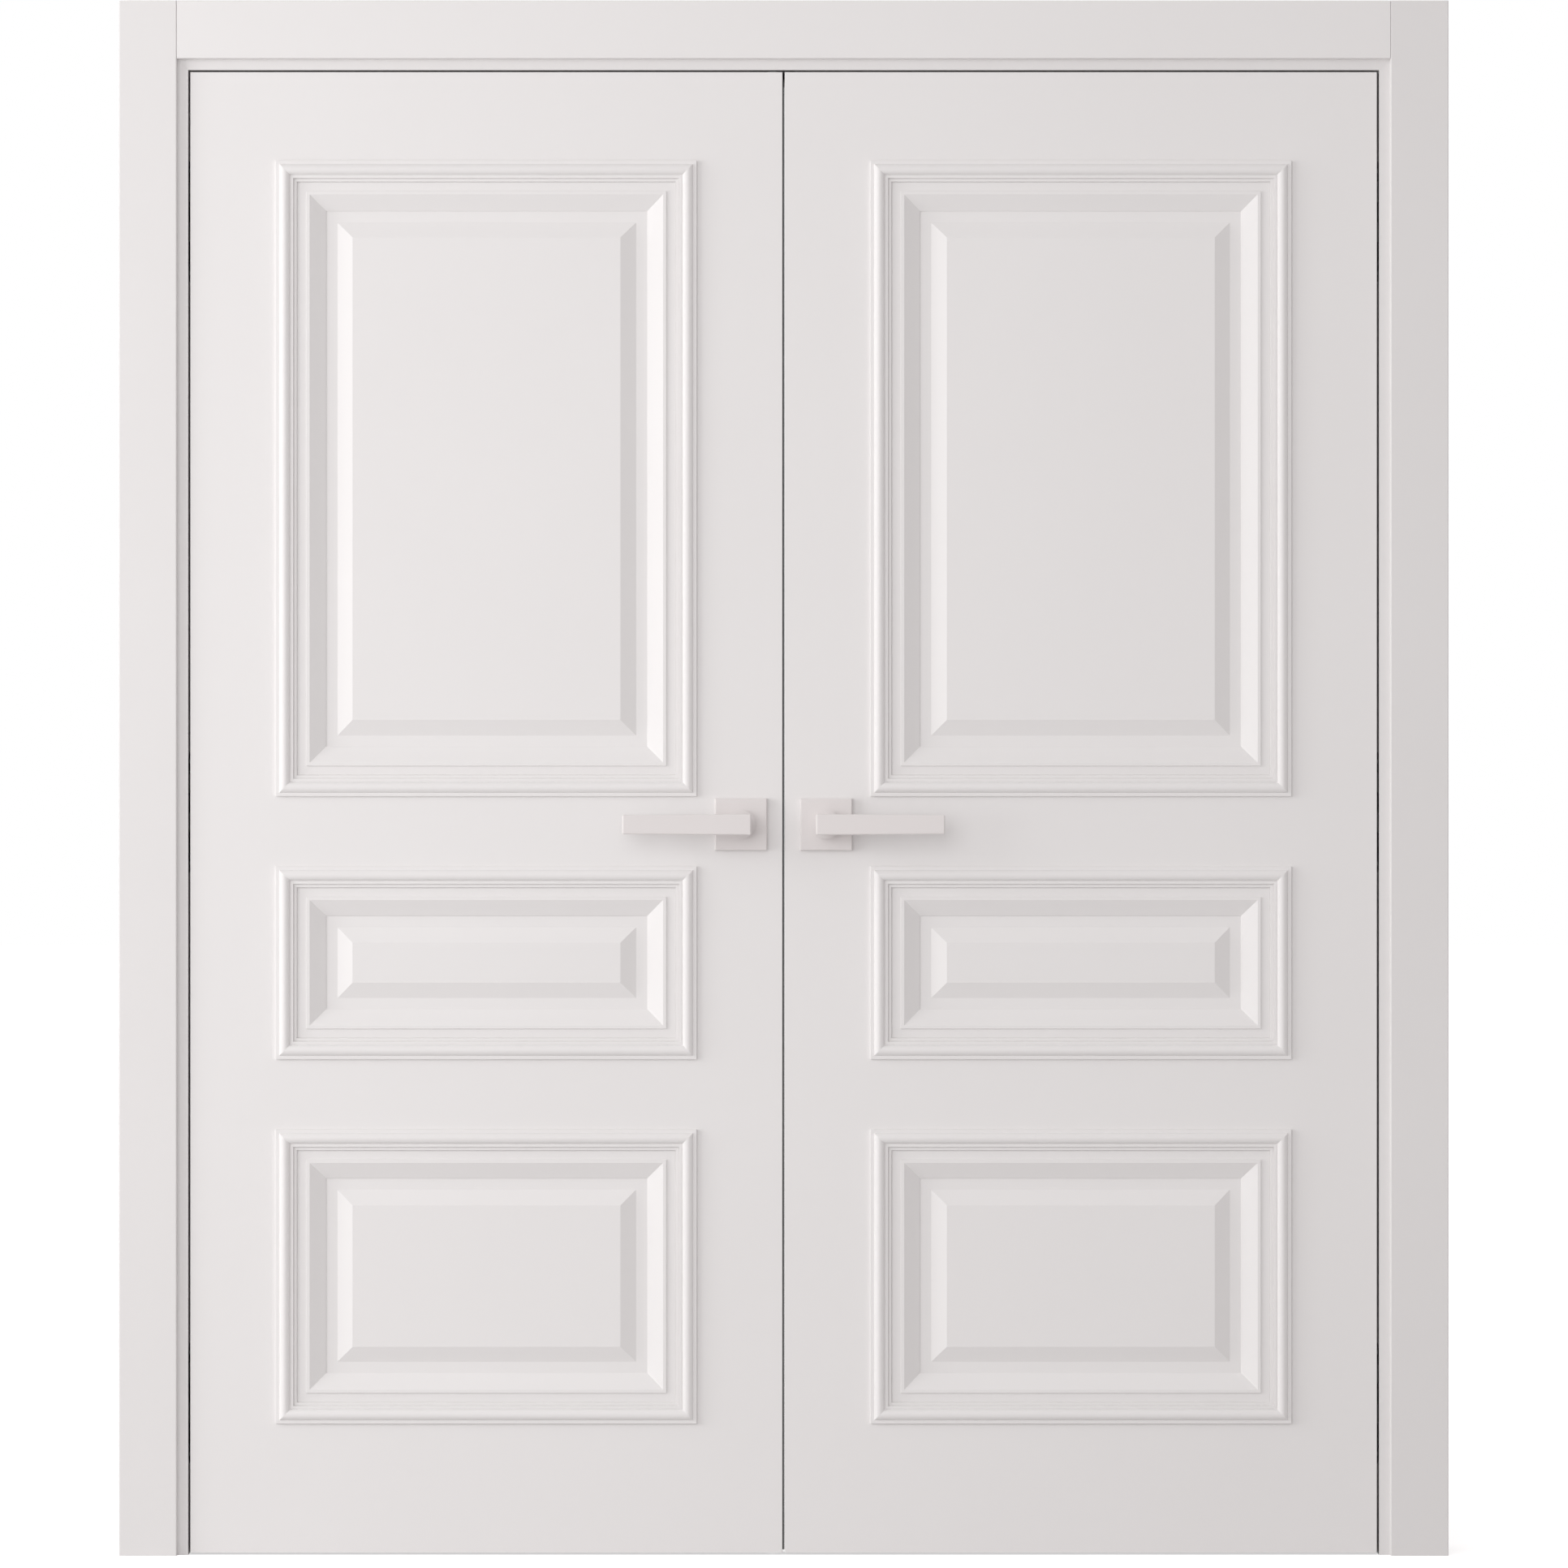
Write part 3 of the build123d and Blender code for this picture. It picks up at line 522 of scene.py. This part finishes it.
def screw_tree():
    tree, given = new_tree("crosshead_screws", "Places", screw_sizes, "Screws")

    def half(size):
        return reckon(tree, "MULTIPLY", size, 0.5)

    def slot_cutter(span, width, depth):
        size = vector(tree, span, width, depth)
        return add(tree, "GeometryNodeMeshCube", {"Size": size}).outputs["Mesh"]

    # The head is a cone with two slots cut across it, one deeper than the other.
    cone = {
        "Vertices": head_facets,
        "Radius Bottom": half(given["Head diameter"]),
        "Radius Top": half(given["Shank diameter"]),
        "Depth": given["Head height"],
    }
    head = add(tree, "GeometryNodeMeshCone", cone).outputs["Mesh"]
    for cutter in (
        slot_cutter(given["Recess span"], given["Recess width"], given["Recess depth"]),
        slot_cutter(given["Recess width"], given["Recess span"], given["Head height"]),
    ):
        inputs = {"Mesh 1": head, "Mesh 2": cutter}
        cut = add(tree, "GeometryNodeMeshBoolean", inputs, operation="DIFFERENCE")
        head = cut.outputs["Mesh"]

    # The shank is drawn one unit long, and each place says how long it is there.
    cone = {
        "Vertices": shank_facets,
        "Radius Bottom": half(given["Shank diameter"]),
        "Radius Top": half(given["Tip diameter"]),
        "Depth": 1.0,
    }
    shank = add(tree, "GeometryNodeMeshCone", cone).outputs["Mesh"]
    driven = stored(tree, "driven", "FLOAT_VECTOR")
    length = stored(tree, "shank_length", "FLOAT")
    turned = add(tree, "FunctionNodeAlignRotationToVector", {"Vector": driven}, axis="Z")
    inputs = {0: driven, "Scale": given["Head height"]}
    below_head = add(tree, "ShaderNodeVectorMath", inputs, operation="SCALE")
    inputs = {"Geometry": given["Places"], "Offset": below_head.outputs[0]}
    shank_places = add(tree, "GeometryNodeSetPosition", inputs)

    inputs = {
        "Points": given["Places"],
        "Instance": head,
        "Rotation": turned.outputs["Rotation"],
    }
    heads = add(tree, "GeometryNodeInstanceOnPoints", inputs)
    inputs = {
        "Points": shank_places.outputs["Geometry"],
        "Instance": shank,
        "Rotation": turned.outputs["Rotation"],
        "Scale": vector(tree, 1.0, 1.0, length),
    }
    shanks = add(tree, "GeometryNodeInstanceOnPoints", inputs)
    both = together(tree, heads.outputs["Instances"], shanks.outputs["Instances"])
    end_tree(tree, both, given["Finish"], "Screws")
    return tree


def screw_places(places):
    mesh = bpy.data.meshes.new("screw_places")
    mesh.from_pydata([spot for spot, _, _ in places], [], [])
    driven = mesh.attributes.new("driven", "FLOAT_VECTOR", "POINT")
    driven.data.foreach_set("vector", [part for _, way, _ in places for part in way])
    lengths = mesh.attributes.new("shank_length", "FLOAT", "POINT")
    lengths.data.foreach_set("value", [length for _, _, length in places])
    return mesh


def pair_along_z(x, y, z, spread, way, length):
    return [((x, y, z - spread), way, length), ((x, y, z + spread), way, length)]


to_left = (-1.0, 0.0, 0.0)
to_right = (1.0, 0.0, 0.0)
upwards = (0.0, 0.0, 1.0)
frame_places = []
left_places = []
right_places = []

hinge_levels = (0.203, 1.003, 1.803)
hinge_y = -0.0035
hinge_spread = 0.069
jamb_face = 0.8045
hinge_edge = 0.8015
for z in hinge_levels:
    for places, x, way in (
        (frame_places, -jamb_face, to_left),
        (frame_places, jamb_face, to_right),
        (left_places, -hinge_edge, to_right),
        (right_places, hinge_edge, to_left),
    ):
        places.extend(pair_along_z(x, hinge_y, z, hinge_spread, way, long_shank))

keep_screws = (-0.0365, 0.0055)
keep_face = 2.006
lock_y = -0.0055
for x in keep_screws:
    frame_places.append(((x, lock_y, keep_face), upwards, long_shank))

meeting_edge = 0.0015
lock_level, lock_spread = 1.002, 0.076
top_bolt_level, bottom_bolt_level, bolt_spread = 1.838, 0.168, 0.066
for places, x, z, spread, way in (
    (left_places, -meeting_edge, lock_level, lock_spread, to_left),
    (left_places, -meeting_edge, top_bolt_level, bolt_spread, to_left),
    (left_places, -meeting_edge, bottom_bolt_level, bolt_spread, to_left),
    (right_places, meeting_edge, lock_level, lock_spread, to_right),
):
    places.extend(pair_along_z(x, lock_y, z, spread, way, short_shank))

zinc = plated_metal("zinc", (0.70, 0.71, 0.72), (0.60, 0.61, 0.63))
screw_maker = screw_tree()
for name, places, body in (
    ("frame_screws", frame_places, "frame"),
    ("left_screws", left_places, "left_leaf"),
    ("right_screws", right_places, "right_leaf"),
):
    screws = made_by_nodes(
        "crosshead_" + name,
        screw_places(places),
        screw_maker,
        {**screw_sizes, "Finish": zinc},
    )
    for attribute in ("driven", "shank_length"):
        if attribute in screws.data.attributes:
            screws.data.attributes.remove(screws.data.attributes[attribute])
    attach(screws, body)
    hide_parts(name)


# Meeting seals: a strip of black pile in a groove of each meeting edge.
# Woven polypropylene pile on a stiff back, slid into the groove from its end. The left pile
# reaches over the gap, and the right one just out of its groove.
black_pile = matt_seal("black_pile", (0.010, 0.010, 0.011), (0.030, 0.030, 0.031))
pile_sizes = {
    "Length": 1.9980,
    "Tuft pitch": 0.0016,
    "Row pitch": 0.00075,
    "Tuft root": 0.00046,
    "Tuft tip": 0.00028,
    "Lean": 0.11,
}
left_reach = 0.00197
right_reach = 0.00057
pile_rows = 3
pile_seed = 7
tuft_facets = 4
tuft_shake = 0.3
upright = math.pi / 2


def pile_tree():
    fitting = {"Pile height": left_reach, "Turn": 0.0, "Place": (0.0, 0.0, 0.0)}
    tree, given = new_tree("brush_pile", "Backing", {**pile_sizes, **fitting}, "Brush")

    def strewn(low, high, seed):
        inputs = {0: low, 1: high, "Seed": seed}
        draw = add(tree, "FunctionNodeRandomValue", inputs, data_type="FLOAT_VECTOR")
        return draw.outputs[0]

    # Tufts stand in rows on the backing, each a little off its place and a little leaning.
    grid = {
        "Size X": given["Length"],
        "Size Y": reckon(tree, "MULTIPLY", given["Row pitch"], pile_rows - 1),
        "Vertices X": reckon(tree, "DIVIDE", given["Length"], given["Tuft pitch"]),
        "Vertices Y": pile_rows,
    }
    rows = add(tree, "GeometryNodeMeshGrid", grid)
    inputs = {"Geometry": rows.outputs["Mesh"], "Rotation": (0.0, -upright, 0.0)}
    standing = add(tree, "GeometryNodeTransform", inputs)
    shake = reckon(tree, "MULTIPLY", given["Tuft pitch"], tuft_shake)
    shake_back = reckon(tree, "MULTIPLY", shake, -1.0)
    shaken = strewn(vector(tree, 0.0, 0.0, shake_back), vector(tree, 0.0, 0.0, shake), pile_seed)
    inputs = {"Geometry": standing.outputs["Geometry"], "Offset": shaken}
    uneven = add(tree, "GeometryNodeSetPosition", inputs)
    cone = {
        "Vertices": tuft_facets,
        "Radius Bottom": given["Tuft root"],
        "Radius Top": given["Tuft tip"],
        "Depth": given["Pile height"],
    }
    tuft = add(tree, "GeometryNodeMeshCone", cone)
    lean = given["Lean"]
    lean_back = reckon(tree, "MULTIPLY", lean, -1.0)
    leaning = strewn(
        vector(tree, 0.0, reckon(tree, "ADD", lean_back, upright), lean_back),
        vector(tree, 0.0, reckon(tree, "ADD", lean, upright), lean),
        pile_seed + 1,
    )
    turned = add(tree, "FunctionNodeEulerToRotation", {"Euler": leaning})
    inputs = {
        "Points": uneven.outputs["Geometry"],
        "Instance": tuft.outputs["Mesh"],
        "Rotation": turned.outputs["Rotation"],
    }
    tufts = add(tree, "GeometryNodeInstanceOnPoints", inputs)

    inputs = {
        "Geometry": together(tree, given["Backing"], tufts.outputs["Instances"]),
        "Rotation": vector(tree, 0.0, 0.0, given["Turn"]),
        "Translation": given["Place"],
    }
    fitted = add(tree, "GeometryNodeTransform", inputs)
    end_tree(tree, fitted.outputs["Geometry"], given["Finish"], "Brush")
    return tree


seal_length = 2.0
seal_y = 0.0095
seal_middle_z = 1.003
core_half = 0.0006
core_share = 0.95
backing_foot = [
    (-0.0050, -0.0011),
    (-0.0046, -0.0015),
    (0.0000, -0.0015),
    (0.0000, -0.0007),
]


def backing_strip(core_height):
    half = backing_foot + [(core_height, -core_half)]
    section = half + [(x, -y) for x, y in reversed(half)]
    count = len(section)
    ends = [(x, y, z) for z in (-seal_length / 2, seal_length / 2) for x, y in section]
    sides = [(i, (i + 1) % count, count + (i + 1) % count, count + i) for i in range(count)]
    caps = [tuple(reversed(range(count))), tuple(range(count, 2 * count))]
    mesh = bpy.data.meshes.new("backing_strip")
    mesh.from_pydata(ends, [], sides + caps)
    return mesh


brush_maker = pile_tree()
for side, edge_x, reach, turn in (
    ("left", -meeting_edge, left_reach, 0.0),
    ("right", meeting_edge, right_reach, math.pi),
):
    brush = made_by_nodes(
        side + "_brush",
        backing_strip(core_share * reach),
        brush_maker,
        {
            **pile_sizes,
            "Pile height": reach,
            "Turn": turn,
            "Place": (edge_x, seal_y, seal_middle_z),
            "Finish": black_pile,
        },
    )
    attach(brush, side + "_leaf")
    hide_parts(side + "_meeting_seal")


# Handle sets: on each face a square rose and a flat lever with a round collar.
# Cast zinc, powder coated in a white a shade greyer and warmer than the leaves, and screwed
# through the leaf.
handle_white = spray_enamel(
    "handle_white",
    pale=(0.757, 0.722, 0.717),
    deep=(0.733, 0.697, 0.692),
    smoothest=0.46,
    dullest=0.55,
    peel_height=0.00006,
)
for side in ("left", "right"):
    for face in ("front", "back"):
        dress(handle_white, f"{side}_{face}_rose", f"{side}_{face}_lever")


# Studio: a white floor that keeps the doors' shadow, a white surround, and three soft windows
# to the left of the camera. Floor and surround show as white in the picture and in reflections,
# and light the doors at a plain level.
def rays_that_show(tree):
    path = add(tree, "ShaderNodeLightPath")
    shown = path.outputs["Is Camera Ray"]
    for kind in ("Is Glossy Ray", "Is Transmission Ray"):
        shown = reckon(tree, "MAXIMUM", shown, path.outputs[kind])
    return shown


floor_half = 30.0
floor_corners = ((-1, -1), (1, -1), (1, 1), (-1, 1))
floor_mesh = bpy.data.meshes.new("floor")
floor_mesh.from_pydata(
    [(x * floor_half, y * floor_half, 0.0) for x, y in floor_corners],
    [],
    [(0, 1, 2, 3)],
)
floor = bpy.data.objects.new("floor", floor_mesh)
bpy.context.scene.collection.objects.link(floor)

floor_bounce = (0.62, 0.61, 0.61, 1.0)
floor_seen = (0.92, 0.92, 0.92, 1.0)
floor_glow = 0.53
floor_white = bpy.data.materials.new("floor_white")
floor_white.use_nodes = True
tree = floor_white.node_tree
tree.nodes.clear()
shown = rays_that_show(tree)
inputs = {"Factor": shown, "A": floor_bounce, "B": floor_seen}
tone = add(tree, "ShaderNodeMix", inputs, data_type="RGBA")
matt = add(tree, "ShaderNodeBsdfDiffuse", {"Color": tone.outputs["Result"]})
glow_strength = reckon(tree, "MULTIPLY", shown, floor_glow)
glow = add(tree, "ShaderNodeEmission", {"Strength": glow_strength})
lit = add(tree, "ShaderNodeAddShader", {0: matt.outputs[0], 1: glow.outputs[0]})
add(tree, "ShaderNodeOutputMaterial", {"Surface": lit.outputs[0]})
floor_mesh.materials.append(floor_white)

surround_tint = (1.0, 0.965, 0.96, 1.0)
surround_level = 0.56
pure_white = (1.0, 1.0, 1.0, 1.0)
surround = bpy.data.worlds.new("surround")
bpy.context.scene.world = surround
surround.use_nodes = True
tree = surround.node_tree
tree.nodes.clear()
inputs = {"Color": surround_tint, "Strength": surround_level}
ambient = add(tree, "ShaderNodeBackground", inputs)
white = add(tree, "ShaderNodeBackground", {"Color": pure_white, "Strength": 1.0})
inputs = {"Fac": rays_that_show(tree), 1: ambient.outputs[0], 2: white.outputs[0]}
mixed = add(tree, "ShaderNodeMixShader", inputs)
add(tree, "ShaderNodeOutputWorld", {"Surface": mixed.outputs[0]})

windows_aim = Vector((0.0, 0.0, 1.1))
for name, place, width, height, power in (
    ("front_window", (-1.65, -6.20, 2.4), 4.5, 4.2, 114.0),
    ("side_window", (-5.08, -2.37, 1.8), 2.6, 4.0, 114.0),
    ("far_window", (-5.09, -1.08, 1.5), 1.8, 4.0, 46.0),
):
    lamp = bpy.data.lights.new(name, "AREA")
    lamp.shape = "RECTANGLE"
    lamp.size = width
    lamp.size_y = height
    lamp.energy = power
    window = bpy.data.objects.new(name, lamp)
    window.location = place
    window.rotation_euler = (windows_aim - Vector(place)).to_track_quat("-Z", "Y").to_euler()
    bpy.context.scene.collection.objects.link(window)


# Camera: straight in front of the doors, at the middle of their height, with a long lens, so
# that little perspective shows. Its distance gives the leaves' faces the photograph's scale.
picture_pixels = 1932
metres_per_pixel = 0.0010963
lens = 135.0
sensor = 36.0
view_x = 0.0005
view_z = 1.0415
leaf_face_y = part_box("left_rails")[0].y
view_distance = picture_pixels * metres_per_pixel * lens / sensor
eye = bpy.data.cameras.new("eye")
eye.lens = lens
eye.sensor_width = sensor
eye.clip_end = 60.0
camera = bpy.data.objects.new("eye", eye)
camera.location = (view_x, leaf_face_y - view_distance, view_z)
camera.rotation_euler = (math.pi / 2, 0.0, 0.0)
bpy.context.scene.collection.objects.link(camera)
bpy.context.scene.camera = camera
bpy.context.scene.view_settings.view_transform = "Standard"
